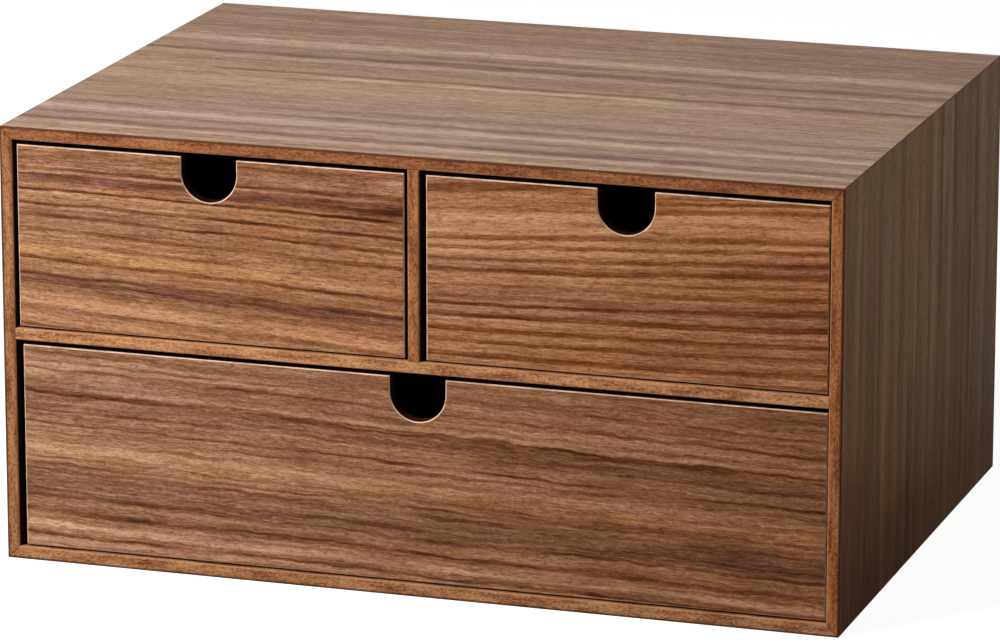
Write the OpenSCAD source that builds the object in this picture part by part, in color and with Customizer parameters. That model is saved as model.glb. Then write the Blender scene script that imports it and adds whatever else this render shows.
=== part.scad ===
// Desktop mini drawers: a mitred wooden case with two small drawers above one wide drawer.
// The front faces -Y, up is +Z, and the origin is the middle of the case's underside.

/* [Case] */
// Width of the case, side to side
case_w = 330; // [240:5:480]
// Depth of the case, front to rear
case_d = 240; // [160:5:360]
// Height of the case
case_h = 170; // [130:1:260]
// Thickness of the top, bottom and side boards
board_t = 5; // [4:0.5:9]
// Thickness of the shelf and of the divider
inner_t = 4.5; // [4:0.5:9]
// Clear height of the two upper bays
upper_bay_h = 73.5; // [45:0.5:85]

/* [Back panel] */
// Thickness of the back panel
back_t = 3; // [2:0.5:5]
// Distance from the rear edges of the boards to the back panel
back_inset = 3; // [2:0.5:10]

/* [Joinery] */
// Depth of the grooves that hold the back panel and the drawer bottoms
groove_d = 2.5; // [1.5:0.25:3]
// Depth of the stopped housings that hold the shelf and the divider
housing_d = 2; // [1:0.25:2.5]
// Distance from the front edges to the end of the housings
housing_stop = 8; // [4:1:20]
// Width of the eased edges
arris = 0.4; // [0.2:0.1:0.8]

/* [Drawers] */
// Thickness of the drawer fronts
front_t = 6; // [5:0.5:9]
// Thickness of the drawer sides and backs
wall_t = 5; // [4:0.5:8]
// Thickness of the drawer bottoms
floor_t = 3; // [2:0.5:5]
// Height of a drawer bottom above the lower edges of its sides
floor_lift = 3; // [2:0.5:8]
// Thickness of the lip of a front that covers the ends of its sides
lip_t = 3; // [2:0.5:4]
// Depth of the rabbets in the sides that hold the drawer back
rabbet_d = 2.5; // [1.5:0.25:3]

/* [Finger notch] */
// Width of the notch in a drawer front
notch_w = 22; // [16:1:30]
// Straight stretch of the notch above its round end
notch_straight = 6; // [2:1:14]

/* [Clearances] */
// Gap at each side of a centred drawer
side_clear = 1.6; // [0.8:0.1:3]
// Gap above a drawer
top_clear = 1.9; // [1:0.1:4]
// Gap below a drawer front
front_lift = 0.8; // [0.5:0.1:2]
// Gap below the drawer sides
slide_gap = 0.3; // [0.2:0.1:0.5]
// Gap between a closed drawer and the back panel
rear_gap = 0.4; // [0.2:0.1:3]
// How far the drawer fronts sit behind the case front
front_recess = 1; // [0:0.5:4]
// Gap round a thin panel in its grooves
panel_play = 0.1; // [0.05:0.05:0.3]
// Share of the side gap by which the right drawer lies to the right
right_drift = 0.55; // [0:0.05:0.75]
// Share of the side gap by which the wide drawer lies to the right
wide_drift = 0.7; // [0:0.05:0.75]

/* [Hidden] */
$fn = 96;
// How far a cutter reaches past the face that it cuts
over = 1;

// The case: inner faces of the boards, and the back panel's place
inside_x = case_w / 2 - board_t;
ceiling_z = case_h - board_t;
shelf_top_z = ceiling_z - upper_bay_h;
shelf_low_z = shelf_top_z - inner_t;
case_front_y = -case_d / 2;
case_rear_y = case_d / 2;
back_rear_y = case_rear_y - back_inset;
back_front_y = back_rear_y - back_t;
inner_d = back_front_y - case_front_y;

// The drawers: front face, rear face and the grooves for their bottoms
drawer_front_y = case_front_y + front_recess;
drawer_rear_y = back_front_y - rear_gap;
floor_slot = floor_t + panel_play;
notch_r = notch_w / 2;

// Each bay: name of its drawer, left and right faces, floor, ceiling, drift to the right
BAYS = [
    ["left_drawer", -inside_x, -inner_t / 2, shelf_top_z, ceiling_z, 0],
    ["right_drawer", inner_t / 2, inside_x, shelf_top_z, ceiling_z, right_drift],
    ["wide_drawer", -inside_x, inside_x, board_t, shelf_low_z, wide_drift],
];

function drawer_name(bay) = bay[0];
function drawer_w(bay) = bay[2] - bay[1] - 2 * side_clear;
function drawer_x(bay) = (bay[1] + bay[2]) / 2 + bay[5] * side_clear;
function side_low_z(bay) = bay[3] + slide_gap;
function front_low_z(bay) = bay[3] + front_lift;
function drawer_top_z(bay) = bay[4] - top_clear;
function side_h(bay) = drawer_top_z(bay) - side_low_z(bay);
function front_h(bay) = drawer_top_z(bay) - front_low_z(bay);

veneer = [0.50, 0.34, 0.22];
dark_veneer = [0.44, 0.29, 0.19];
edge_brown = [0.47, 0.29, 0.18];
panel_brown = [0.40, 0.28, 0.19];

// ---- Shapes that repeat ----

// A board of the case's shell: outer face down at z = 0, both ends mitred, the grooved face up
module mitred_board(span) {
    ends = [
        [span / 2 - arris, 0],
        [span / 2 - arris / 2, arris / 2],
        [span / 2 - board_t, board_t],
    ];
    far_ends = [for (i = [len(ends) - 1:-1:0]) [-ends[i][0], ends[i][1]]];
    long_edges = [
        [case_front_y, arris],
        [case_front_y + arris, 0],
        [case_rear_y - arris, 0],
        [case_rear_y, arris],
        [case_rear_y, board_t],
        [case_front_y + arris, board_t],
        [case_front_y, board_t - arris],
    ];
    difference() {
        intersection() {
            rotate([90, 0, 0])
                linear_extrude(case_d, center = true)
                    polygon(concat(ends, far_ends));
            rotate([90, 0, 90])
                linear_extrude(span, center = true)
                    polygon(long_edges);
        }
        translate([-span / 2, back_front_y, board_t - groove_d])
            cube([span, back_t + panel_play, groove_d + over]);
    }
}

// A board along x with its front at y = 0, whose two long front edges are eased
module eased_board(length, depth, thick) {
    rotate([90, 0, 90])
        linear_extrude(length, center = true)
            polygon([
                [0, arris],
                [arris, 0],
                [depth, 0],
                [depth, thick],
                [arris, thick],
                [0, thick - arris],
            ]);
}

// A drawer wall along x, centred, that stands on z = 0 and whose two top edges are eased
module wall_board(length, height) {
    rotate([90, 0, 90])
        linear_extrude(length, center = true)
            polygon([
                [0, 0],
                [wall_t, 0],
                [wall_t, height - arris],
                [wall_t - arris, height],
                [arris, height],
                [0, height - arris],
            ]);
}

// The space that the shelf takes in the case, with its ends in the housings
module shelf_tongue() {
    translate([-inside_x - housing_d, case_front_y + housing_stop, shelf_low_z])
        cube([2 * (inside_x + housing_d), inner_d - housing_stop, inner_t]);
}

// The space that the divider takes, with its ends in the housings
module divider_tongue() {
    translate([-inner_t / 2, case_front_y + housing_stop, shelf_top_z - housing_d])
        cube([inner_t, inner_d - housing_stop, upper_bay_h + 2 * housing_d]);
}

// ---- The case ----

module bottom_panel() {
    color(veneer) mitred_board(case_w);
}

module top_panel() {
    color(veneer)
        difference() {
            translate([0, 0, case_h]) mirror([0, 0, 1]) mitred_board(case_w);
            divider_tongue();
        }
}

// hand is -1 for the left side and 1 for the right side
module side_panel(hand) {
    color(dark_veneer)
        difference() {
            translate([hand * case_w / 2, 0, case_h / 2])
                rotate([0, -90 * hand, 0])
                    mitred_board(case_h);
            shelf_tongue();
        }
}

module back_panel() {
    reach = groove_d - panel_play;
    color(panel_brown)
        translate([-inside_x - reach, back_front_y, board_t - reach])
            cube([2 * (inside_x + reach), back_t, ceiling_z - board_t + 2 * reach]);
}

module shelf() {
    color(edge_brown)
        difference() {
            union() {
                translate([0, case_front_y, shelf_low_z])
                    eased_board(2 * inside_x, inner_d, inner_t);
                shelf_tongue();
            }
            divider_tongue();
        }
}

module centre_divider() {
    color(edge_brown)
        union() {
            translate([inner_t / 2, case_front_y, shelf_top_z + upper_bay_h / 2])
                rotate([0, -90, 0])
                    eased_board(upper_bay_h, inner_d, inner_t);
            divider_tongue();
        }
}

// ---- The drawers ----

// One eased mouth of the notch, opening towards -y from the face at y = 0
module notch_mouth() {
    wide_r = notch_r + arris + over;
    translate([0, -over, 0]) {
        rotate([-90, 0, 0])
            cylinder(h = arris + over, r1 = wide_r, r2 = notch_r);
        linear_extrude(notch_straight + over)
            polygon([
                [-wide_r, 0],
                [wide_r, 0],
                [notch_r, arris + over],
                [-notch_r, arris + over],
            ]);
    }
}

// The finger notch: a half round with straight sides above it, centre of the round at the origin
module finger_notch() {
    translate([0, -over, 0]) {
        rotate([-90, 0, 0])
            cylinder(h = front_t + 2 * over, r = notch_r);
        translate([-notch_r, 0, 0])
            cube([notch_w, front_t + 2 * over, notch_straight + over]);
    }
    notch_mouth();
    translate([0, front_t, 0]) mirror([0, 1, 0]) notch_mouth();
}

module drawer_front(bay) {
    w = drawer_w(bay);
    h = front_h(bay);
    groove_z = floor_lift + slide_gap - front_lift;
    groove_half = w / 2 - wall_t + groove_d;
    color(veneer)
        translate([drawer_x(bay), drawer_front_y, front_low_z(bay)])
            difference() {
                intersection() {
                    eased_board(w, front_t, h);
                    translate([-w / 2, 0, h / 2])
                        rotate([0, 90, 0])
                            eased_board(h, front_t, w);
                }
                for (hand = [-1, 1])
                    translate([hand * w / 2 - wall_t, lip_t, -over])
                        cube([2 * wall_t, front_t, h + 2 * over]);
                translate([-groove_half, front_t - groove_d, groove_z])
                    cube([2 * groove_half, groove_d + over, floor_slot]);
                translate([0, 0, h - notch_straight])
                    finger_notch();
            }
}

// hand is -1 for the left side and 1 for the right side
module drawer_side(bay, hand) {
    inner_face = drawer_w(bay) / 2 - wall_t;
    start_y = drawer_front_y + lip_t;
    length = drawer_rear_y - start_y;
    color(edge_brown)
        translate([drawer_x(bay), start_y, side_low_z(bay)])
            mirror([hand < 0 ? 1 : 0, 0, 0])
                difference() {
                    translate([inner_face + wall_t, length / 2, 0])
                        rotate([0, 0, 90])
                            wall_board(length, side_h(bay));
                    translate([inner_face - over, -over, floor_lift])
                        cube([groove_d + over, length + 2 * over, floor_slot]);
                    translate([inner_face - over, length - wall_t, -over])
                        cube([rabbet_d + over, wall_t + over, side_h(bay) + 2 * over]);
                }
}

module drawer_back(bay) {
    length = drawer_w(bay) - 2 * (wall_t - rabbet_d);
    color(edge_brown)
        translate([drawer_x(bay), drawer_rear_y - wall_t, side_low_z(bay)])
            difference() {
                wall_board(length, side_h(bay));
                translate([-length / 2 - over, -over, floor_lift])
                    cube([length + 2 * over, groove_d + over, floor_slot]);
            }
}

module drawer_bottom(bay) {
    reach = groove_d - panel_play;
    half_w = drawer_w(bay) / 2 - wall_t + reach;
    start_y = drawer_front_y + front_t - reach;
    end_y = drawer_rear_y - wall_t + reach;
    color(panel_brown)
        translate([drawer_x(bay) - half_w, start_y, side_low_z(bay) + floor_lift])
            cube([2 * half_w, end_y - start_y, floor_t]);
}

// ---- The nodes ----

top_panel();
bottom_panel();
side_panel(-1);  // left_side_panel
side_panel(1);  // right_side_panel
back_panel();
shelf();
centre_divider();
for (bay = BAYS) {
    drawer_front(bay);
    drawer_side(bay, -1);
    drawer_side(bay, 1);
    drawer_back(bay);
    drawer_bottom(bay);
}
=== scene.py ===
"""Dresses the desktop mini drawers in walnut veneer and sets a studio round them.

Lengths in the settings are metres. Lengths in a Figure, a Streak or a wrap are millimetres.
"""

import math
from typing import NamedTuple

import bpy
from bpy.props import FloatProperty, FloatVectorProperty, PointerProperty
from mathutils import Matrix, Vector


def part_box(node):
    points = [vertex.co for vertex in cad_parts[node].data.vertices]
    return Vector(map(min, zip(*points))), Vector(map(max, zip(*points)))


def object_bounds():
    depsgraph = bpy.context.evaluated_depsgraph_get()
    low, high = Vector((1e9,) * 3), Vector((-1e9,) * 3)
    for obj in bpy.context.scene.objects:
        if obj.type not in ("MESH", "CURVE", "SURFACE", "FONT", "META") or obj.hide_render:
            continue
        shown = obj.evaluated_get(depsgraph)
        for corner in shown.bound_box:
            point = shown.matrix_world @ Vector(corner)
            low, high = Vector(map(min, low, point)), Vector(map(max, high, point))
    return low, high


bl_info = {
    "name": "Desktop Mini Drawers",
    "version": (1, 0, 0),
    "blender": (4, 5, 0),
    "location": "3D View > Sidebar > Mini Drawers",
    "description": "Dresses a desktop drawer unit in walnut veneer and sets a studio round it",
    "category": "Object",
}

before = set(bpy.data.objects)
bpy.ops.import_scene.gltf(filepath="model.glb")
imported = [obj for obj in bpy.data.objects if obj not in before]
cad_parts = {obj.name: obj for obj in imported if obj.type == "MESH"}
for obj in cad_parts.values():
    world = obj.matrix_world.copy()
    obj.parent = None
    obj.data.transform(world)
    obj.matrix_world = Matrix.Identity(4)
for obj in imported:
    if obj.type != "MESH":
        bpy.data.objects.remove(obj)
cad_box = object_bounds()

MM = 1000.0
DRAWERS = ("left_drawer", "right_drawer", "wide_drawer")
WHITE = (1.0, 1.0, 1.0)

# The ends of a streak's reach where it runs off the sheet, and how far either side of an end it
# fades. Both ends lie past those of every sheet by more than the fade.
START = -20
END = 350
REACH_FADE = 12.0

# How far the stain of a narrow edge wraps onto a face: not at all, or onto the ledge that a drawer
# stands on. The stain then fades out over the last of these lengths.
NO_WRAP = -2.0
LEDGE_WRAP = 2.0
WRAP_FADE = 1.5


# ---- How each sheet of veneer is figured ----


class Streak(NamedTuple):
    """One streak of the figure, at a depth from the board's datum edge at the grain's start.

    It builds up over rise before that depth and dies away over fall beyond it. A tone below 0 is
    darker. A hue above 0 leans to plum and one below 0 to rust. The streak runs the sheet's whole
    length, or from the first to the second place of its reach.
    """

    depth: float
    rise: float
    fall: float
    tone: float
    hue: float = 0.0
    reach: tuple = ()


class Figure(NamedTuple):
    """The grain of one sheet of veneer.

    lean and bend are given at the datum edge and at the far one, and tone at the grain's start and
    end, as are tint and far_tint. sway and ripple say how far the rings wander. pitch is the
    spacing of the fine growth lines, and lines and bands are the strengths of those and of the
    broad bands. fine is the strength of the fibres and specks, patch the width of the pinkish
    patches, rust how far dark streaks lean to rust, and broken how much the streaks break up.
    """

    seed: float
    lean: tuple = (0.0, 0.0)
    bend: tuple = (0.0, 0.0)
    sway: float = 3.0
    ripple: float = 0.4
    pitch: float = 5.0
    lines: float = 0.2
    bands: float = 0.5
    tone: tuple = (0.55, 0.55)
    fine: float = 1.0
    patch: float = 6.0
    tint: tuple = WHITE
    far_tint: tuple = ()
    rust: float = 1.0
    broken: float = 1.0
    streaks: tuple = ()


class Lie(NamedTuple):
    """Which way a board lies: the signed axes along its grain, across it and through it."""

    along: str
    across: str
    through: str


LEFT_FRONT = Figure(
    seed=3.0,
    lean=(0.004, 0.054),
    sway=0.6,
    lines=0.05,
    bands=0.12,
    tone=(0.62, 0.58),
    fine=0.86,
    tint=(0.98, 1.07, 1.11),
    far_tint=(1.0, 0.97, 0.92),
    rust=0.7,
    streaks=(
        Streak(2.2, 1.4, 1.0, -0.09),
        Streak(8.0, 9.0, 9.0, -0.02, 0.3),
        Streak(18.0, 16.0, 14.0, -0.05, 0.15, (116, END)),
        Streak(42.0, 9.0, 7.0, 0.0, -0.35, (START, 110)),
        Streak(7.0, 5.0, 4.0, 0.11, 0.25, (94, 126)),
        Streak(4.5, 4.0, 3.0, 0.40, 0.2, (146, END)),
        Streak(6.0, 2.5, 2.0, -0.05, 0.0, (START, 50)),
        Streak(8.8, 1.6, 0.5, -0.22, 0.0, (START, 50)),
        Streak(8.8, 1.6, 0.5, -0.34, 0.0, (50, END)),
        Streak(12.0, 2.6, 2.4, -0.17, 0.6, (START, 74)),
        Streak(13.0, 3.2, 2.6, -0.24, 0.8, (84, END)),
        Streak(16.7, 1.1, 0.4, -0.49),
        Streak(18.8, 1.5, 1.5, -0.04, 0.0, (START, 50)),
        Streak(22.2, 1.4, 0.5, -0.31),
        Streak(24.4, 2.0, 2.0, -0.03, 0.4, (START, 90)),
        Streak(27.0, 1.3, 0.5, -0.16, 0.0, (START, 50)),
        Streak(27.0, 1.3, 0.5, -0.33, 0.0, (50, END)),
        Streak(30.4, 2.0, 2.0, 0.07),
        Streak(32.5, 1.4, 0.5, -0.16),
        Streak(34.8, 1.2, 0.5, -0.09, 0.0, (START, 90)),
        Streak(35.6, 2.5, 2.5, 0.07, 0.0, (90, END)),
        Streak(37.6, 1.4, 0.5, -0.16, 0.0, (START, 90)),
        Streak(40.0, 2.2, 2.2, 0.15, -0.35),
        Streak(43.2, 1.2, 0.7, -0.24),
        Streak(46.4, 1.2, 1.2, 0.05, 0.3, (START, 74)),
        Streak(46.0, 1.6, 1.6, -0.07, 0.3, (84, END)),
        Streak(48.8, 1.4, 1.0, -0.21, 0.3),
        Streak(50.8, 2.8, 3.6, -0.18, 0.8),
        Streak(55.0, 1.2, 0.7, -0.07),
        Streak(59.0, 3.4, 3.2, 0.16, -0.4),
        Streak(62.4, 1.4, 0.8, -0.10),
        Streak(66.0, 2.4, 2.4, 0.06, -0.4),
        Streak(69.6, 1.4, 0.5, -0.24, 0.0, (START, 50)),
    ),
)

RIGHT_FRONT = Figure(
    seed=7.0,
    lean=(-0.083, 0.015),
    bend=(2.5, -4.5),
    sway=0.4,
    lines=0.07,
    bands=0.10,
    tone=(0.685, 0.635),
    fine=0.78,
    tint=(1.0, 0.98, 0.94),
    far_tint=(1.0, 0.90, 0.76),
    rust=2.2,
    broken=0.4,
    streaks=(
        Streak(4.8, 3.4, 2.4, -0.22, 0.0, (START, 60)),
        Streak(26.0, 10.0, 9.0, 0.09, -0.1, (START, 78)),
        Streak(10.0, 12.0, 9.0, -0.03, -0.2),
        Streak(42.0, 8.0, 8.0, -0.05, 0.0, (96, END)),
        Streak(64.0, 14.0, 10.0, -0.04, -0.15, (START, 120)),
        Streak(26.0, 6.0, 5.0, 0.07, 0.1, (122, END)),
        Streak(9.0, 1.2, 0.5, -0.14, 0.0, (60, END)),
        Streak(11.0, 1.4, 0.5, -0.22, 0.0, (60, END)),
        Streak(12.3, 1.6, 0.6, -0.12, 0.0, (START, 60)),
        Streak(13.7, 1.6, 0.6, -0.22, 0.0, (60, END)),
        Streak(15.8, 2.4, 2.2, 0.13),
        Streak(20.2, 2.0, 1.2, 0.08),
        Streak(23.4, 2.0, 0.5, -0.24),
        Streak(25.2, 1.2, 0.8, 0.07),
        Streak(27.0, 1.8, 0.5, -0.24),
        Streak(28.8, 1.2, 1.0, 0.06),
        Streak(31.4, 2.0, 0.5, -0.22, 0.0, (START, 78)),
        Streak(31.2, 2.0, 0.5, -0.28, 0.0, (78, END)),
        Streak(35.8, 2.2, 0.5, -0.30, 0.0, (START, 78)),
        Streak(35.2, 2.2, 0.5, -0.27, 0.0, (78, END)),
        Streak(32.0, 5.0, 4.0, -0.05, 0.6, (112, END)),
        Streak(37.5, 1.4, 1.2, 0.05),
        Streak(38.6, 1.8, 0.5, -0.18, 0.0, (80, END)),
        Streak(41.3, 2.0, 0.5, -0.14, 0.0, (START, 80)),
        Streak(42.6, 2.0, 0.5, -0.26, 0.0, (80, END)),
        Streak(45.4, 1.6, 0.5, -0.13, 0.0, (START, 80)),
        Streak(48.2, 2.0, 0.5, -0.32, 0.0, (START, 80)),
        Streak(47.4, 2.0, 0.5, -0.20, 0.0, (80, END)),
        Streak(48.2, 5.0, 5.0, -0.08, 0.6, (60, END)),
        Streak(50.0, 4.0, 3.0, -0.03, 0.4, (START, 60)),
        Streak(52.6, 2.2, 0.6, -0.40),
        Streak(57.9, 2.0, 0.6, -0.34),
        Streak(62.3, 2.0, 0.6, -0.26),
        Streak(67.8, 2.4, 0.6, -0.30),
        Streak(72.0, 1.6, 0.5, -0.24),
    ),
)

WIDE_FRONT = Figure(
    seed=12.0,
    lean=(0.031, 0.022),
    sway=1.3,
    ripple=1.0,
    pitch=3.4,
    lines=0.09,
    bands=0.13,
    tone=(0.63, 0.46),
    fine=0.84,
    tint=(1.0, 1.15, 1.26),
    far_tint=(1.0, 1.07, 1.12),
    rust=0.6,
    streaks=(
        Streak(1.6, 1.0, 0.8, -0.10),
        Streak(10.0, 12.0, 10.0, 0.04, 0.1, (START, 62)),
        Streak(12.0, 14.0, 18.0, -0.04, 0.0, (70, 126)),
        Streak(18.0, 18.0, 20.0, 0.04, 0.1, (240, END)),
        Streak(3.2, 1.2, 1.0, 0.10, 0.0, (START, 90)),
        Streak(4.2, 1.8, 1.8, 0.10, 0.0, (150, 250)),
        Streak(5.0, 1.2, 0.6, -0.09),
        Streak(6.4, 1.2, 1.0, 0.06, 0.0, (START, 120)),
        Streak(8.4, 1.5, 0.6, -0.19),
        Streak(11.0, 1.2, 1.2, 0.08),
        Streak(13.2, 1.4, 0.6, -0.09, 0.0, (140, END)),
        Streak(14.8, 1.5, 1.2, 0.09),
        Streak(16.9, 1.4, 2.4, -0.31),
        Streak(20.4, 3.0, 4.0, -0.09, 0.4),
        Streak(24.2, 1.4, 0.6, -0.15),
        Streak(27.4, 8.0, 8.0, -0.02, 0.3, (180, END)),
        Streak(29.4, 1.2, 0.6, -0.21),
        Streak(32.6, 1.4, 0.8, -0.12),
        Streak(39.6, 3.5, 3.0, 0.17, -0.4, (START, 180)),
        Streak(41.6, 3.5, 3.0, 0.11, -0.7, (180, END)),
        Streak(43.6, 1.2, 0.6, -0.09),
        Streak(46.4, 1.2, 0.6, -0.09),
        Streak(49.2, 1.4, 0.6, -0.15),
        Streak(48.5, 7.0, 9.0, -0.05, 0.0, (230, END)),
        Streak(53.0, 8.0, 8.0, -0.08, 0.6),
        Streak(54.8, 1.2, 0.6, -0.15),
        Streak(58.4, 1.4, 0.6, -0.17),
        Streak(60.4, 1.0, 1.0, 0.07, 0.0, (START, 150)),
        Streak(64.4, 2.2, 1.6, -0.28, 0.0, (START, 180)),
        Streak(64.6, 2.2, 1.6, -0.17, 0.2, (180, END)),
        Streak(69.4, 2.5, 2.0, 0.20, -0.2),
        Streak(73.4, 1.4, 0.6, -0.26),
        Streak(75.4, 1.2, 1.0, 0.06),
    ),
)

TOP = Figure(
    seed=21.0,
    sway=1.6,
    ripple=1.8,
    pitch=7.0,
    lines=0.04,
    bands=0.16,
    tone=(0.66, 0.61),
    fine=0.9,
    patch=22.0,
    # The tint makes the top greyer and bluer: partly the wood's own colour and partly a painted sheen.
    tint=(0.89, 1.11, 1.24),
    streaks=(
        Streak(195.0, 65.0, 45.0, 0.03, 0.3),
        Streak(212.0, 26.0, 26.0, 0.12, 0.25, (100, 180)),
        Streak(214.0, 24.0, 24.0, 0.07, 0.1, (270, END)),
        Streak(162.0, 20.0, 20.0, -0.05, -0.1, (START, 52)),
        Streak(50.0, 60.0, 60.0, -0.05, 0.1, (220, END)),
        Streak(2.6, 2.0, 2.0, -0.12),
        Streak(10.0, 12.0, 34.0, -0.06, -0.5),
        Streak(44.0, 14.0, 12.0, -0.09, -0.2),
        Streak(66.0, 8.5, 5.5, 0.27, 0.1),
        Streak(75.0, 4.0, 3.0, -0.15),
        Streak(87.5, 6.0, 3.5, -0.33, -0.5),
        Streak(95.5, 3.5, 4.0, 0.15),
        Streak(103.0, 7.0, 7.0, -0.09, -0.2),
        Streak(118.2, 4.0, 1.6, -0.31, -0.7, (45, END)),
        Streak(123.2, 2.5, 4.5, 0.31, 0.0, (85, 235)),
        Streak(127.5, 4.0, 5.0, 0.15, 0.0, (215, END)),
        Streak(136.0, 10.0, 16.0, 0.09, -0.3),
        Streak(156.0, 2.5, 2.5, 0.11, 0.0, (100, END)),
        Streak(165.0, 3.0, 3.0, 0.07, 0.0, (100, END)),
        Streak(179.0, 4.0, 3.0, -0.07),
        Streak(185.5, 2.5, 2.5, 0.07, 0.2),
        Streak(191.0, 3.5, 2.0, -0.17),
        Streak(198.5, 5.0, 5.0, 0.31, 0.15),
        Streak(207.5, 3.0, 3.0, -0.10, 0.2),
        Streak(213.0, 2.5, 2.5, 0.09, 0.3),
        Streak(220.5, 5.0, 3.0, -0.31, 0.2),
        Streak(226.5, 3.0, 3.0, 0.31, 0.4),
        Streak(233.0, 2.5, 2.0, -0.04),
        Streak(237.0, 2.0, 2.5, 0.18),
    ),
)


class Board(NamedTuple):
    """A veneered board: its lie and figure, its narrow edges' tint, its sheen and its wrap."""

    lie: Lie
    figure: Figure
    edge: tuple
    sheen: float = 0.08
    wrap: float = NO_WRAP


class InnerBoard(NamedTuple):
    """The shelf or the divider: its lie, the seed of its grain, its narrow edges' tint and its wrap."""

    lie: Lie
    seed: float
    edge: tuple
    wrap: float = NO_WRAP


CASE_BOARDS = {
    "top_panel": Board(Lie("+x", "-y", "-z"), TOP, (0.82, 0.72, 0.62), 0.14),
    "bottom_panel": Board(
        Lie("+x", "+y", "+z"), Figure(seed=31.0), (1.02, 1.12, 1.18), wrap=LEDGE_WRAP
    ),
    "left_side_panel": Board(Lie("-z", "-y", "+x"), Figure(seed=42.0), (0.86, 0.89, 0.92)),
    "right_side_panel": Board(
        Lie("-z", "+y", "-x"),
        Figure(
            seed=55.0,
            sway=1.5,
            lines=0.06,
            bands=0.22,
            # The side darkens towards its bottom end, partly in the wood's tone and partly as painted
            # shade.
            tone=(0.66, 0.48),
            fine=0.5,
            patch=22.0,
            # The tint is greyer at the top end, partly a painted sheen, and browner at the bottom end, on
            # top of the wood's own colour.
            tint=(0.97, 1.24, 1.23),
            far_tint=(0.93, 1.14, 0.97),
            broken=0.6,
            streaks=(
                # The broad dark streaks that run to the bottom end darken the lower part of the side, most
                # of all at the front: painted shade.
                Streak(232.0, 190.0, 60.0, 0.14, 0.2),
                Streak(120.0, 200.0, 200.0, -0.05, 0.0, (118, END)),
                Streak(120.0, 200.0, 200.0, -0.13, -0.3, (144, END)),
                Streak(0.0, 10.0, 60.0, -0.20, -0.2, (110, END)),
                Streak(70.0, 80.0, 90.0, -0.08, -0.9, (136, END)),
                Streak(105.0, 75.0, 60.0, -0.06, 0.0, (136, END)),
                Streak(236.0, 36.0, 10.0, 0.05, 0.3, (124, END)),
                Streak(100.0, 26.0, 22.0, 0.04, 0.1, (88, 126)),
                Streak(60.0, 25.0, 25.0, 0.04, 0.1, (START, 120)),
                Streak(120.0, 45.0, 45.0, 0.02, -0.25, (START, 100)),
                Streak(178.0, 24.0, 22.0, -0.07, 0.2, (START, 100)),
                Streak(226.0, 34.0, 20.0, 0.10, 0.4, (96, END)),
                Streak(18.0, 14.0, 8.0, 0.05, 0.0, (START, 80)),
                Streak(55.0, 3.0, 3.0, -0.14, 0.0, (95, END)),
                Streak(60.5, 3.0, 3.0, 0.10, 0.0, (40, END)),
                Streak(99.0, 4.0, 3.0, -0.20, 0.0, (96, END)),
                Streak(106.0, 3.0, 4.0, 0.16, 0.25, (30, END)),
                Streak(124.0, 5.0, 3.0, 0.16, 0.25, (50, END)),
                Streak(134.0, 4.0, 4.0, 0.08, 0.25, (60, 150)),
                Streak(145.0, 4.0, 5.0, -0.18, 0.0, (START, 80)),
                Streak(151.0, 3.0, 3.0, 0.10, 0.0, (START, 70)),
                Streak(165.0, 2.5, 4.0, -0.16, 0.0, (START, 48)),
                Streak(193.0, 4.0, 3.0, -0.18, 0.0, (60, 130)),
                Streak(201.0, 4.0, 4.0, -0.16, 0.0, (START, 60)),
                Streak(214.0, 4.0, 6.0, 0.08, 0.2, (START, 150)),
            ),
        ),
        (0.92, 0.78, 0.62),
        0.10,
    ),
}
INNER_BOARDS = {
    "shelf": InnerBoard(Lie("+x", "+y", "-z"), 61.0, (1.2, 1.3, 1.35), LEDGE_WRAP),
    "centre_divider": InnerBoard(Lie("-z", "+y", "+x"), 71.0, (0.97, 0.9, 0.82)),
}
FRONT_LIE = Lie("+x", "-z", "+y")
FRONT_SHEEN = 0.06
FRONTS = {
    "left_drawer": LEFT_FRONT,
    "right_drawer": RIGHT_FRONT,
    "wide_drawer": WIDE_FRONT,
}
WALLS = {
    "left_side": Lie("-y", "-z", "+x"),
    "right_side": Lie("-y", "-z", "-x"),
    "back": Lie("+x", "-z", "-y"),
}
FIRST_WALL_SEED = 84.0
WALL_SEED_STEP = 3.0
PANEL_SEED = 91.0
# How much lighter the back panel is than the drawer bottoms, which are the same fibreboard: painted light
# that offsets the shade the back stands in.
BACK_PANEL_PAINTED_LIGHT = (2.2, 2.1, 2.0)

# The finish of the pieces that have no veneer.
PLAIN_SHEEN = 0.15
INNER_ROUGHNESS = 0.60
WALL_ROUGHNESS = 0.62
PANEL_ROUGHNESS = 0.66

# How the strongest fibres of a wooden piece change its roughness.
FIBRE_SHINE = -0.06


# ---- Nodes of a material or a world ----

# How far a seed of 1 shifts the noise, and the range that nearly all of its values lie in.
SEED_STEP = (7.3, 3.1, 5.7)
NOISE_RANGE = (0.15, 0.85)


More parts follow.
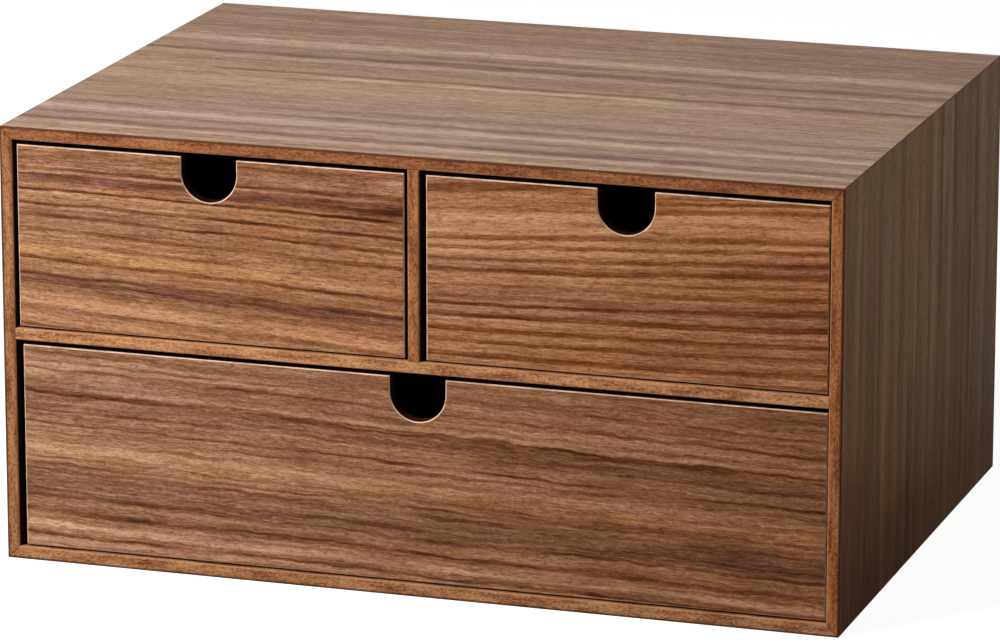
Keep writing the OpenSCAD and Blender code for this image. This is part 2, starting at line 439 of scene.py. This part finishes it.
class NodeKit:
    """Builds the nodes of a material or a world. A value is a number, a vector or a node's output."""

    def __init__(self, owner):
        owner.use_nodes = True
        self.owner = owner
        self.tree = owner.node_tree
        self.tree.nodes.clear()

    def add(self, kind, values, output=0, **settings):
        """Adds a node, sets or links its inputs, and gives one of its outputs."""
        node = self.tree.nodes.new(kind)
        for name, setting in settings.items():
            setattr(node, name, setting)
        for key, value in values.items():
            if isinstance(value, bpy.types.NodeSocket):
                self.tree.links.new(value, node.inputs[key])
            else:
                node.inputs[key].default_value = value
        return node.outputs[output] if node.outputs else node

    def math(self, operation, *values, clamp=False):
        return self.add("ShaderNodeMath", dict(enumerate(values)), operation=operation, use_clamp=clamp)

    def join(self, x, y, z):
        return self.add("ShaderNodeCombineXYZ", {0: x, 1: y, 2: z})

    def split(self, vector):
        parts = self.add("ShaderNodeSeparateXYZ", {0: vector}).node
        return tuple(parts.outputs)

    def span(self, value, low, high, at_low=0.0, at_high=1.0, smooth=True):
        """Runs from at_low to at_high as value goes from low to high, and holds beyond."""
        return self.add(
            "ShaderNodeMapRange",
            {0: value, 1: low, 2: high, 3: at_low, 4: at_high},
            interpolation_type="SMOOTHSTEP" if smooth else "LINEAR",
        )

    def hump(self, value, rise_from, rise_to, fall_from, fall_to):
        """Rises from 0 to 1 as value goes over the first pair, and falls back over the second."""
        rise = self.span(value, rise_from, rise_to)
        return self.math("MULTIPLY", rise, self.span(value, fall_from, fall_to, 1.0, 0.0))

    def mix(self, share, first, second, blend="MIX"):
        """The first colour, with a share of the second blended in."""
        return self.add(
            "ShaderNodeMix",
            {0: share, 6: self.colour(first), 7: self.colour(second)},
            output=2,
            data_type="RGBA",
            blend_type=blend,
        )

    @staticmethod
    def colour(value):
        """A colour of three numbers gets the fourth that a socket asks for."""
        if isinstance(value, bpy.types.NodeSocket):
            return value
        return (*value, 1.0)

    def mottle(self, at, size, seed, detail=2.0, roughness=0.5):
        """Noise about 0, mostly within 0.5, whose patches have the given size in millimetres."""
        scale = tuple(1.0 / length for length in size)
        shift = tuple(seed * step for step in SEED_STEP)
        scaled = self.add("ShaderNodeVectorMath", {0: at, 1: scale, 2: shift}, operation="MULTIPLY_ADD")
        noise = self.add(
            "ShaderNodeTexNoise",
            {"Vector": scaled, "Scale": 1.0, "Detail": detail, "Roughness": roughness},
        )
        return self.span(noise, *NOISE_RANGE, -1.0, 1.0, smooth=False)

    def ramp(self, value, stops):
        """A colour for each value, from (place, colour) pairs in rising order."""
        output = self.add("ShaderNodeValToRGB", {0: value})
        elements = output.node.color_ramp.elements
        while len(elements) < len(stops):
            elements.new(0.5)
        for element, (place, colour) in zip(elements, stops):
            element.position = place
            element.color = self.colour(colour)
        return output

    def finish(self, colour, roughness, relief, relief_depth, specular):
        """The shader: relief runs from 0 to 1 over relief_depth metres."""
        normal = self.add(
            "ShaderNodeBump",
            {"Strength": 1.0, "Distance": relief_depth, "Height": relief},
        )
        shader = self.add(
            "ShaderNodeBsdfPrincipled",
            {
                "Base Color": self.colour(colour),
                "Roughness": roughness,
                "Normal": normal,
                "IOR": 1.5,
                "Specular IOR Level": specular,
            },
        )
        self.add("ShaderNodeOutputMaterial", {"Surface": shader})
        return self.owner


def signed_axis(word):
    """The sign and the axis number of a word such as "-z"."""
    return (1.0 if word[0] == "+" else -1.0), "xyz".index(word[1])


def board_place(kit, node, lie):
    """Where a point is in its board: along, across and through, in millimetres from the datum."""
    low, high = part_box(node)
    place = kit.split(kit.add("ShaderNodeTexCoord", {}, output="Object"))
    parts = []
    for word in lie:
        sign, axis = signed_axis(word)
        datum = low[axis] if sign > 0 else high[axis]
        parts.append(kit.math("MULTIPLY_ADD", place[axis], sign * MM, -sign * datum * MM))
    return kit.join(*parts)


def board_faces(kit, lie):
    """Masks of the outer face, the inner face and the eased edges of a board.

    The bounds are how far the surface turns from the narrow edges (0) to a face (1).
    """
    normal = kit.split(kit.add("ShaderNodeTexCoord", {}, output="Normal"))
    sign, axis = signed_axis(lie.through)
    inward = kit.math("MULTIPLY", normal[axis], sign)
    outer = kit.span(inward, -0.97, -0.88, 1.0, 0.0)
    inner = kit.span(inward, 0.88, 0.97)
    eased = kit.hump(kit.math("ABSOLUTE", inward), 0.25, 0.45, 0.88, 0.97)
    return outer, inner, eased


def lined_part(kit, at, faces, wrap):
    """The part of the faces that is lined, which begins where the wrap of the edge stain ends."""
    return kit.math("MULTIPLY", faces, kit.span(kit.split(at)[1], wrap, wrap + WRAP_FADE))


# ---- Wood ----

# This gain flattens the middle of a streak.
STREAK_GAIN = 1.5

# A streak with a lower tone than this is a growth line. It is rusty, unless it is plum, and a pale
# line follows it, with this share of its tone. Then come that line's rise and fall, beyond the streak.
GROWTH_TONE = -0.15
PALE_SHARE = -0.2
PALE_LINE = (0.0, 0.4, 0.5, 1.6)

# How far the fine and the coarse pattern break up the streaks of a figure whose broken is 1.
FINE_BREAK = 0.3
COARSE_BREAK = 0.45

# The strengths of the fine patterns of the veneer, and how far the bands bunch the fine growth lines.
STREAK_STRENGTH = 0.34
FIBRE_STRENGTH = 0.34
DUST_STRENGTH = 0.14
BUNCHING = 0.9

# The most that the purplish and the rusty tints may show, and how purplish the dark bands are.
MOST_PLUM = 0.85
MOST_RUST = 1.0
BAND_PLUM = 0.3

# The sheet of veneer shows dark at a narrow edge, and so does the glue along a mitre: how each fades
# out, in millimetres, and how dark it is.
SHEET_FADE = 0.25
SHEET_DARK = 0.75
MITRE_FADE = (0.05, 0.35)
MITRE_DARK = 0.5

# How much rougher the rest of a board is than its veneer.
REST_ROUGHER = 0.12


def grown_place(kit, at, figure, length, width):
    """Where a point is in the grown wood: along the grain, its depth in the rings, and through."""
    along, across, through = kit.split(at)
    lean = kit.span(across, 0.0, width, *figure.lean, smooth=False)
    ring = kit.math("SUBTRACT", across, kit.math("MULTIPLY", lean, along))
    if any(figure.bend):
        far = kit.math("POWER", kit.math("MULTIPLY", along, 1.0 / length), 2.0)
        bend = kit.span(across, 0.0, width, *figure.bend, smooth=False)
        ring = kit.math("SUBTRACT", ring, kit.math("MULTIPLY", bend, far))
    sway = kit.mottle(at, (110, 26, 30), figure.seed, detail=1.0)
    ring = kit.math("MULTIPLY_ADD", sway, figure.sway, ring)
    ripple = kit.mottle(at, (13, 4.5, 20), figure.seed + 1.0)
    ring = kit.math("MULTIPLY_ADD", ripple, figure.ripple, ring)
    return kit.join(along, ring, through)


def growth_lines(kit, grown, bands, figure):
    """Fine lines that darken slowly across the rings and end sharply."""
    ring = kit.split(grown)[1]
    turns = kit.math("MULTIPLY_ADD", bands, BUNCHING, kit.math("MULTIPLY", ring, 1.0 / figure.pitch))
    line = kit.math("POWER", kit.math("FRACT", turns), 4.0)
    patches = kit.mottle(grown, (60, 6, 20), figure.seed + 6.0)
    return kit.math("MULTIPLY", line, kit.span(patches, -0.5, 0.6, 0.2, 1.0))


def drawn_streaks(kit, grown, figure):
    """What the figure's streaks add to the tone, to the plum tint and to the rusty one."""
    along, ring, _ = kit.split(grown)
    tone = plum = rust = 0.0
    for streak in figure.streaks:
        off = kit.math("SUBTRACT", ring, streak.depth)
        mask = kit.hump(off, -streak.rise, 0.0, 0.0, streak.fall)
        mask = kit.math("MULTIPLY", mask, STREAK_GAIN, clamp=True)
        if streak.reach:
            start, end = streak.reach
            reached = kit.hump(
                along, start - REACH_FADE, start + REACH_FADE, end - REACH_FADE, end + REACH_FADE
            )
            mask = kit.math("MULTIPLY", mask, reached)
        tone = kit.math("MULTIPLY_ADD", mask, streak.tone, tone)
        grows = streak.tone < GROWTH_TONE
        if grows:
            beyond = kit.math("SUBTRACT", off, streak.fall)
            pale = kit.hump(beyond, *PALE_LINE)
            tone = kit.math("MULTIPLY_ADD", pale, PALE_SHARE * streak.tone, tone)
        if streak.hue > 0.0:
            plum = kit.math("MULTIPLY_ADD", mask, streak.hue, plum)
        elif streak.hue < 0.0 or grows:
            rust = kit.math("MULTIPLY_ADD", mask, max(-streak.hue, -figure.rust * streak.tone), rust)
    return tone, plum, rust


def walnut(kit, at, figure, length, width, veneer):
    """Colour, relief and fibres of walnut veneer. length is the sheet's along the grain."""
    seed = figure.seed
    grown = grown_place(kit, at, figure, length, width)
    along = kit.split(grown)[0]
    bands = kit.mottle(grown, (190, 8, 30), seed + 2.0)
    streaks = kit.mottle(grown, (26, 1.1, 6), seed + 3.0, detail=3.0, roughness=0.6)
    fibres = kit.mottle(grown, (3.8, 0.5, 1.2), seed + 4.0, detail=3.0, roughness=0.65)
    pores = kit.span(kit.mottle(grown, (2.8, 0.38, 1), seed + 5.0, detail=1.0), 0.22, 0.50)
    dust = kit.mottle(grown, (1.1, 0.5, 1), seed + 7.0, detail=1.0)
    blush = kit.span(kit.mottle(grown, (45, figure.patch, 20), seed + 8.0), -0.5, 0.5)
    fade = kit.mottle(grown, (24, 2.4, 6), seed + 9.0)

    tone = kit.span(along, 0.0, length, *figure.tone, smooth=False)
    for pattern, strength in (
        (bands, figure.bands),
        (streaks, STREAK_STRENGTH * figure.fine),
        (fibres, FIBRE_STRENGTH * figure.fine),
        (dust, DUST_STRENGTH * figure.fine),
        (growth_lines(kit, grown, bands, figure), -figure.lines),
    ):
        tone = kit.math("MULTIPLY_ADD", pattern, strength, tone)
    drawn, plum, rust = drawn_streaks(kit, grown, figure)
    fine, coarse = FINE_BREAK * figure.broken, COARSE_BREAK * figure.broken
    strength = kit.math(
        "MULTIPLY",
        kit.span(streaks, -0.7, 0.7, 1.0 + fine, 1.0 - fine),
        kit.span(fade, -0.45, 0.45, 1.0 - coarse, 1.0 + coarse),
    )
    tone = kit.math("MULTIPLY_ADD", drawn, strength, tone)

    colour = kit.ramp(
        tone,
        (
            (0.0, veneer.umber),
            (0.28, veneer.bark),
            (0.52, veneer.brown),
            (0.74, veneer.tan),
            (1.0, veneer.gold),
        ),
    )
    plum = kit.math("MULTIPLY_ADD", kit.span(bands, 0.1, -0.6), BAND_PLUM, plum)
    tint = figure.tint
    if figure.far_tint:
        tint = kit.mix(kit.math("MULTIPLY", along, 1.0 / length), figure.tint, figure.far_tint)
    for share, shade in (
        (kit.math("MINIMUM", plum, MOST_PLUM), veneer.plum),
        (kit.math("MINIMUM", rust, MOST_RUST), veneer.rust),
        (blush, veneer.blush),
    ):
        colour = kit.mix(share, colour, shade, "MULTIPLY")
    colour = kit.mix(kit.math("MULTIPLY", pores, 0.5), colour, veneer.umber)
    colour = kit.mix(1.0, colour, tint, "MULTIPLY")
    relief = kit.math("MULTIPLY_ADD", fibres, 0.3, kit.math("MULTIPLY_ADD", pores, -0.4, 0.6))
    return colour, relief, fibres


def stained_edge(kit, at, seed, stain):
    """Colour and relief of a board's stained narrow edge."""
    patches = kit.mottle(at, (16, 2.6, 2.6), seed + 11.0, detail=2.0)
    flecks = kit.mottle(at, (1.3, 0.55, 0.55), seed + 12.0, detail=3.0, roughness=0.7)
    grit = kit.span(kit.mottle(at, (1.1, 0.7, 0.7), seed + 13.0, detail=1.0), 0.25, 0.55)
    tone = kit.math("MULTIPLY_ADD", patches, 0.55, kit.math("MULTIPLY_ADD", flecks, 0.75, 0.5))
    colour = kit.ramp(tone, ((0.1, stain.dark), (0.5, stain.edge), (0.9, stain.light)))
    colour = kit.mix(kit.math("MULTIPLY", grit, 0.6), colour, stain.dark)
    relief = kit.math("MULTIPLY_ADD", flecks, 0.4, 0.5)
    return colour, relief


def lining(kit, at, seed, stain):
    """Colour and fibres of the stained wood inside the case and the drawers. Its dark stain is partly
    painted shade, so that the gaps and the notch read nearly black.
    """
    grain = kit.mottle(at, (60, 2.2, 6), seed + 21.0, detail=3.0, roughness=0.6)
    fibres = kit.mottle(at, (7, 0.4, 2), seed + 22.0, detail=2.0)
    tone = kit.math("MULTIPLY_ADD", grain, 0.4, kit.math("MULTIPLY_ADD", fibres, 0.25, 0.5))
    return kit.ramp(tone, ((0.1, stain.inside_dark), (0.9, stain.inside))), fibres


def mitre_lines(kit, at, length):
    """Mask of the glue lines along the mitres at a case board's two ends."""
    along, _, through = kit.split(at)
    end = kit.math("MINIMUM", along, kit.math("SUBTRACT", length, along))
    return kit.span(kit.math("SUBTRACT", end, through), *MITRE_FADE, MITRE_DARK, 0.0)


def dress(node, material):
    """Gives a CAD node one material."""
    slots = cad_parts[node].data.materials
    slots.clear()
    slots.append(material)


def dress_board(node, board, settings, rubbed_and_highlit=False):
    """Veneer on the outer face, a stained narrow edge and a lined inner face.

    On the drawer fronts the eased edges are pale, partly as abraded stain and partly as a painted
    highlight. On the case boards the outer eased edges show the dark cut of the veneer, and the inner ones
    a pale painted highlight.
    """
    veneer, stain = settings.veneer, settings.stain
    lie, seed = board.lie, board.figure.seed
    kit = NodeKit(bpy.data.materials.new(node))
    at = board_place(kit, node, lie)
    through = kit.split(at)[2]
    outer, inner, eased = board_faces(kit, lie)
    low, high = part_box(node)
    length, width = ((high - low)[signed_axis(word)[1]] * MM for word in lie[:2])

    wood, relief, fibres = walnut(kit, at, board.figure, length, width, veneer)
    edge, edge_relief = stained_edge(kit, at, seed, stain)
    # The edge tint multiplies the stained edge. On the drawer fronts it is the very dark cut tint: partly
    # the dark stain and partly painted shade in the notch and in the gaps beside the fronts.
    edge = kit.mix(1.0, edge, board.edge, "MULTIPLY")
    glue_line = veneer.thickness * MM
    sheet = kit.span(through, glue_line, glue_line + SHEET_FADE, SHEET_DARK, 0.0)
    edge = kit.mix(sheet, edge, veneer.umber)
    if not rubbed_and_highlit:
        edge = kit.mix(mitre_lines(kit, at, length), edge, veneer.umber)
    # The lined inner face is partly painted shade.
    inside, _ = lining(kit, at, seed, stain)
    lined = lined_part(kit, at, inner, board.wrap)
    colour = kit.mix(outer, edge, wood)
    colour = kit.mix(kit.math("SUBTRACT", inner, lined), colour, edge)
    colour = kit.mix(lined, colour, inside)

    # Pale eased edges in patches: on the drawer fronts partly abraded stain and partly a painted
    # highlight, on the case boards a painted highlight on the inner edges.
    pale_arris = kit.span(kit.mottle(at, (6, 3, 3), seed + 31.0), -0.5, 0.4, 0.6, 1.0)
    pale_arris = kit.math("MULTIPLY", eased, kit.math("MULTIPLY", pale_arris, 1.0 if rubbed_and_highlit else 0.6))
    arris = stain.worn_and_highlit if rubbed_and_highlit else kit.mix(kit.span(through, 1.0, 2.0), veneer.umber, stain.light)
    colour = kit.mix(pale_arris, colour, arris)
    height = kit.span(outer, 0.0, 1.0, edge_relief, relief, smooth=False)
    roughness = kit.math("MULTIPLY_ADD", fibres, FIBRE_SHINE, veneer.roughness)
    roughness = kit.math("MULTIPLY_ADD", kit.math("SUBTRACT", 1.0, outer), REST_ROUGHER, roughness)
    dress(node, kit.finish(colour, roughness, height, veneer.relief, board.sheen))


# ---- Settings ----


def colour_setting(name, description, default):
    return FloatVectorProperty(
        name=name, description=description, default=default, subtype="COLOR", size=3, min=0.0, max=1.0
    )


def length_setting(name, description, default):
    return FloatProperty(
        name=name, description=description, default=default, unit="LENGTH", subtype="DISTANCE", precision=5
    )


class VeneerSettings(bpy.types.PropertyGroup):
    """Colours and finish of the walnut veneer."""

    gold: colour_setting("Gold", "Lightest streaks", (0.60, 0.335, 0.182))
    tan: colour_setting("Tan", "Light wood", (0.41, 0.197, 0.096))
    brown: colour_setting("Brown", "Most of the wood", (0.26, 0.105, 0.042))
    bark: colour_setting("Bark brown", "Dark wood", (0.145, 0.050, 0.018))
    umber: colour_setting("Umber", "Growth lines and pores", (0.055, 0.016, 0.005))
    plum: colour_setting("Plum", "Tint of the purplish streaks", (0.72, 0.74, 0.98))
    rust: colour_setting("Rust", "Tint of the dark growth lines and the honey streaks", (1.0, 0.91, 0.66))
    blush: colour_setting("Blush", "Tint of the pinkish patches", (1.0, 0.92, 1.0))
    thickness: length_setting("Thickness", "Thickness of the veneer seen at an edge", 0.0008)
    relief: length_setting("Relief", "Depth of the open pores", 0.00006)
    roughness: FloatProperty(
        name="Roughness", description="Roughness of the satin lacquer", default=0.46, min=0.0, max=1.0
    )


class StainSettings(bpy.types.PropertyGroup):
    """Colours of the stained edges and insides."""

    # The light edge colour is also the pale painted highlight on the inner eased edges of the case boards,
    # the shelf and the divider.
    light: colour_setting("Light edge", "Lightest flecks of a stained edge", (0.46, 0.21, 0.09))
    edge: colour_setting("Edge", "Stained narrow edge of a board", (0.32, 0.125, 0.050))
    dark: colour_setting("Dark edge", "Darkest flecks of a stained edge", (0.145, 0.040, 0.012))
    # The cut tint is a dark stain darkened further as painted shade, so that the notch and the gaps beside
    # the drawer fronts read nearly black.
    cut: colour_setting("Cut edge", "Tint of a drawer front's edges and notch", (0.10, 0.055, 0.048))
    # The pale colour of a drawer front's eased edges: partly abraded stain and partly a painted highlight.
    worn_and_highlit: colour_setting("Worn edge", "Eased edge where the stain is rubbed thin", (0.72, 0.50, 0.36))
    # The insides are a dark stain, darkened further as painted shade so that the gaps round the drawers
    # and the notch read nearly black.
    inside: colour_setting("Inside", "Stained inside of the case and drawers", (0.045, 0.022, 0.012))
    inside_dark: colour_setting("Dark inside", "Darker grain of the inside", (0.018, 0.009, 0.005))
    panel: colour_setting("Thin panel", "Fibreboard of the back and drawer bottoms", (0.10, 0.055, 0.032))
    panel_dark: colour_setting("Dark panel", "Darker fibres of the thin panels", (0.05, 0.026, 0.015))


class StudioSettings(bpy.types.PropertyGroup):
    """The camera, lamps and floor."""

    lens: FloatProperty(
        name="Lens", description="Focal length on a 36 mm sensor", default=220.6, min=20.0, unit="CAMERA"
    )
    turn: FloatProperty(
        name="Turn", description="Angle round the unit, to the right", default=math.radians(18.09),
        subtype="ANGLE",
    )
    tilt: FloatProperty(
        name="Tilt", description="Angle above the horizon", default=math.radians(14.72), subtype="ANGLE"
    )
    distance: length_setting("Distance", "Camera to the unit", 2.415)
    aim_right: length_setting("Aim right", "Picture centre to the right of the origin", -0.00509)
    aim_up: length_setting("Aim up", "Picture centre above the origin", 0.07441)
    key_place: FloatVectorProperty(
        name="Key lamp", description="Where the key lamp stands", default=(-0.60, -0.70, 0.72),
        subtype="TRANSLATION", size=3,
    )
    lamp_size: length_setting("Lamp size", "Width of the square lamps", 0.55)
    key_watts: FloatProperty(
        name="Key power", description="Power of the key lamp", default=16.2, min=0.0, unit="POWER"
    )
    room_light: FloatProperty(
        name="Room light", description="Strength of the light from all round", default=0.05, min=0.0
    )
    fill_place: FloatVectorProperty(
        name="Fill lamp", description="Where the fill lamp stands", default=(0.38, 0.05, 0.62),
        subtype="TRANSLATION", size=3,
    )
    fill_watts: FloatProperty(
        name="Fill power", description="Power of the fill lamp", default=0.6, min=0.0, unit="POWER"
    )
    floor_size: length_setting("Floor size", "Width of the floor", 12.0)
    floor_colour: colour_setting("Floor colour", "Pale floor", (0.55, 0.55, 0.55))


class DrawersSettings(bpy.types.PropertyGroup):
    """All the settings."""

    veneer: PointerProperty(type=VeneerSettings)
    stain: PointerProperty(type=StainSettings)
    studio: PointerProperty(type=StudioSettings)


# ---- Operators ----


class DRAWERS_OT_case_boards(bpy.types.Operator):
    """Veneers the top, the bottom and the two sides of the case"""

    bl_idname = "mini_drawers.case_boards"
    bl_label = "Case boards"

    def execute(self, context):
        for node, board in CASE_BOARDS.items():
            dress_board(node, board, context.scene.mini_drawers)
        return {"FINISHED"}


class DRAWERS_OT_inner_boards(bpy.types.Operator):
    """Stains the shelf and the centre divider"""

    bl_idname = "mini_drawers.inner_boards"
    bl_label = "Shelf and divider"

    def execute(self, context):
        settings = context.scene.mini_drawers
        for node, board in INNER_BOARDS.items():
            kit = NodeKit(bpy.data.materials.new(node))
            at = board_place(kit, node, board.lie)
            outer, inner, eased = board_faces(kit, board.lie)
            edge, relief = stained_edge(kit, at, board.seed, settings.stain)
            # The faces of the shelf and the divider take the lining, which is partly painted shade.
            inside, fibres = lining(kit, at, board.seed, settings.stain)
            edge = kit.mix(1.0, edge, board.edge, "MULTIPLY")
            lined = lined_part(kit, at, kit.math("ADD", outer, inner), board.wrap)
            colour = kit.mix(lined, edge, inside)
            # The eased edges of the shelf and the divider are made pale in patches: a painted highlight.
            pale_arris = kit.span(kit.mottle(at, (6, 3, 3), board.seed + 31.0), -0.5, 0.4, 0.2, 0.7)
            colour = kit.mix(kit.math("MULTIPLY", eased, pale_arris), colour, settings.stain.light)
            roughness = kit.math("MULTIPLY_ADD", fibres, FIBRE_SHINE, INNER_ROUGHNESS)
            dress(node, kit.finish(colour, roughness, relief, settings.veneer.relief, PLAIN_SHEEN))
        return {"FINISHED"}


class DRAWERS_OT_drawer_fronts(bpy.types.Operator):
    """Veneers the three drawer fronts"""

    bl_idname = "mini_drawers.drawer_fronts"
    bl_label = "Drawer fronts"

    def execute(self, context):
        settings = context.scene.mini_drawers
        for drawer, figure in FRONTS.items():
            # The fronts' edges and notch take the cut tint, which is partly painted shade.
            board = Board(FRONT_LIE, figure, settings.stain.cut, FRONT_SHEEN)
            dress_board(drawer + "_front", board, settings, rubbed_and_highlit=True)
        return {"FINISHED"}


class DRAWERS_OT_drawer_walls(bpy.types.Operator):
    """Stains the sides and the back of each drawer"""

    bl_idname = "mini_drawers.drawer_walls"
    bl_label = "Drawer walls"

    def execute(self, context):
        settings = context.scene.mini_drawers
        seed = FIRST_WALL_SEED
        for drawer in DRAWERS:
            for wall, lie in WALLS.items():
                node = f"{drawer}_{wall}"
                kit = NodeKit(bpy.data.materials.new(node))
                at = board_place(kit, node, lie)
                eased = board_faces(kit, lie)[2]
                colour, fibres = lining(kit, at, seed, settings.stain)
                pale_arris = kit.span(kit.mottle(at, (8, 3, 3), seed + 1.0), -0.4, 0.5, 0.1, 0.5)
                colour = kit.mix(kit.math("MULTIPLY", eased, pale_arris), colour, settings.stain.edge)
                relief = kit.math("MULTIPLY_ADD", fibres, 0.4, 0.5)
                roughness = kit.math("MULTIPLY_ADD", fibres, FIBRE_SHINE, WALL_ROUGHNESS)
                dress(node, kit.finish(colour, roughness, relief, settings.veneer.relief, PLAIN_SHEEN))
                seed += WALL_SEED_STEP
        return {"FINISHED"}


class DRAWERS_OT_thin_panels(bpy.types.Operator):
    """Finishes the back panel and the drawer bottoms as brown fibreboard"""

    bl_idname = "mini_drawers.thin_panels"
    bl_label = "Thin panels"

    def execute(self, context):
        settings = context.scene.mini_drawers
        # The back panel is lightened as painted light; the drawer bottoms keep the fibreboard's colour.
        panels = {"back_panel": BACK_PANEL_PAINTED_LIGHT}
        panels.update({drawer + "_bottom": WHITE for drawer in DRAWERS})
        for node, tint in panels.items():
            kit = NodeKit(bpy.data.materials.new(node))
            place = kit.add("ShaderNodeTexCoord", {}, output="Object")
            at = kit.add("ShaderNodeVectorMath", {0: place, "Scale": MM}, operation="SCALE")
            clouds = kit.mottle(at, (22, 22, 22), PANEL_SEED)
            fibres = kit.mottle(at, (1.6, 1.6, 1.6), PANEL_SEED + 1.0, detail=4.0, roughness=0.7)
            tone = kit.math("MULTIPLY_ADD", clouds, 0.2, kit.math("MULTIPLY_ADD", fibres, 0.5, 0.5))
            colour = kit.ramp(tone, ((0.1, settings.stain.panel_dark), (0.9, settings.stain.panel)))
            colour = kit.mix(1.0, colour, tint, "MULTIPLY")
            roughness = kit.math("MULTIPLY_ADD", fibres, 0.08, PANEL_ROUGHNESS)
            relief = kit.math("MULTIPLY_ADD", fibres, 0.5, 0.5)
            dress(node, kit.finish(colour, roughness, relief, settings.veneer.relief, PLAIN_SHEEN))
        return {"FINISHED"}


# What the camera sees of the floor: its grey, and the glow that lifts it to white. Seen in a glossy
# or a clear surface, it glows less.
SEEN_GREY = (0.40, 0.40, 0.40)
SEEN_GLOW = 0.90
MIRRORED_GLOW = 0.03

# The width of the camera's sensor in millimetres, and the distances between which it sees, in metres.
SENSOR_WIDTH = 36.0
NEAREST = 0.1
FARTHEST = 60.0


def seen_directly(kit):
    """1 for a ray straight from the camera, and 1 for a glossy or transmitted one, as a pair."""
    path = kit.add("ShaderNodeLightPath", {}).node.outputs
    mirrored = kit.math("MAXIMUM", path["Is Glossy Ray"], path["Is Transmission Ray"])
    return path["Is Camera Ray"], mirrored


def add_floor(studio):
    """A pale floor that shows white, with a faint shadow of the unit."""
    half = studio.floor_size / 2
    corners = [(-half, -half, 0.0), (half, -half, 0.0), (half, half, 0.0), (-half, half, 0.0)]
    mesh = bpy.data.meshes.new("floor")
    mesh.from_pydata(corners, [], [(0, 1, 2, 3)])
    floor = bpy.data.objects.new("floor", mesh)
    bpy.context.scene.collection.objects.link(floor)
    kit = NodeKit(bpy.data.materials.new("floor"))
    straight, mirrored = seen_directly(kit)
    pale = kit.mix(straight, studio.floor_colour, SEEN_GREY)
    glow = kit.math("MULTIPLY_ADD", straight, SEEN_GLOW, kit.math("MULTIPLY", mirrored, MIRRORED_GLOW))
    diffuse = kit.add("ShaderNodeBsdfDiffuse", {"Color": pale})
    emission = kit.add("ShaderNodeEmission", {"Strength": glow})
    both = kit.add("ShaderNodeAddShader", {0: diffuse, 1: emission})
    kit.add("ShaderNodeOutputMaterial", {"Surface": both})
    mesh.materials.append(kit.owner)


def add_room(studio):
    """Soft light from all round, which shows white."""
    kit = NodeKit(bpy.data.worlds.new("room"))
    bpy.context.scene.world = kit.owner
    seen = kit.math("MAXIMUM", *seen_directly(kit))
    strength = kit.span(seen, 0.0, 1.0, studio.room_light, 1.0, smooth=False)
    light = kit.add("ShaderNodeBackground", {"Color": kit.colour(WHITE), "Strength": strength})
    kit.add("ShaderNodeOutputWorld", {"Surface": light})


def add_lamp(name, place, watts, size, centre):
    """A soft square lamp turned to the unit."""
    lamp = bpy.data.lights.new(name, "AREA")
    lamp.shape = "SQUARE"
    lamp.size = size
    lamp.energy = watts
    stand = bpy.data.objects.new(name, lamp)
    bpy.context.scene.collection.objects.link(stand)
    stand.location = place
    stand.rotation_mode = "QUATERNION"
    stand.rotation_quaternion = (centre - Vector(place)).to_track_quat("-Z", "Y")


def add_camera(studio):
    """The camera at the photograph's viewing angle."""
    data = bpy.data.cameras.new("camera")
    data.sensor_width = SENSOR_WIDTH
    data.lens = studio.lens
    data.clip_start = NEAREST
    data.clip_end = FARTHEST
    camera = bpy.data.objects.new("camera", data)
    bpy.context.scene.collection.objects.link(camera)
    bpy.context.scene.camera = camera
    turn, tilt = studio.turn, studio.tilt
    back = Vector((math.sin(turn) * math.cos(tilt), -math.cos(turn) * math.cos(tilt), math.sin(tilt)))
    right = Vector((math.cos(turn), math.sin(turn), 0.0))
    up = back.cross(right)
    place = back * studio.distance + right * studio.aim_right + up * studio.aim_up
    axes = Matrix((right, up, back)).transposed()
    camera.matrix_world = Matrix.Translation(place) @ axes.to_4x4()


class DRAWERS_OT_stage(bpy.types.Operator):
    """Adds the floor, the lamps, the room light and the camera"""

    bl_idname = "mini_drawers.stage"
    bl_label = "Stage"

    def execute(self, context):
        studio = context.scene.mini_drawers.studio
        add_floor(studio)
        add_room(studio)
        centre = (cad_box[0] + cad_box[1]) / 2
        add_lamp("key", studio.key_place, studio.key_watts, studio.lamp_size, centre)
        add_lamp("fill", studio.fill_place, studio.fill_watts, studio.lamp_size, centre)
        add_camera(studio)
        context.scene.view_settings.view_transform = "Standard"
        return {"FINISHED"}


OPERATORS = (
    DRAWERS_OT_case_boards,
    DRAWERS_OT_inner_boards,
    DRAWERS_OT_drawer_fronts,
    DRAWERS_OT_drawer_walls,
    DRAWERS_OT_thin_panels,
    DRAWERS_OT_stage,
)


class DRAWERS_PT_sidebar(bpy.types.Panel):
    """Lists the steps that dress the unit and set the stage"""

    bl_idname = "DRAWERS_PT_sidebar"
    bl_label = "Mini Drawers"
    bl_space_type = "VIEW_3D"
    bl_region_type = "UI"
    bl_category = "Mini Drawers"

    def draw(self, context):
        for operator in OPERATORS:
            self.layout.operator(operator.bl_idname)
        settings = context.scene.mini_drawers
        for group in (settings.veneer, settings.stain, settings.studio):
            box = self.layout.box()
            for name in group.bl_rna.properties.keys():
                if name not in ("rna_type", "name"):
                    box.prop(group, name)


GROUPS = (VeneerSettings, StainSettings, StudioSettings, DrawersSettings)
CLASSES = GROUPS + OPERATORS + (DRAWERS_PT_sidebar,)


def register():
    for cls in CLASSES:
        bpy.utils.register_class(cls)
    bpy.types.Scene.mini_drawers = PointerProperty(type=DrawersSettings)


def unregister():
    del bpy.types.Scene.mini_drawers
    for cls in reversed(CLASSES):
        bpy.utils.unregister_class(cls)


def main():
    register()
    for operator in OPERATORS:
        group, name = operator.bl_idname.split(".")
        getattr(getattr(bpy.ops, group), name)()


if __name__ == "__main__":
    main()
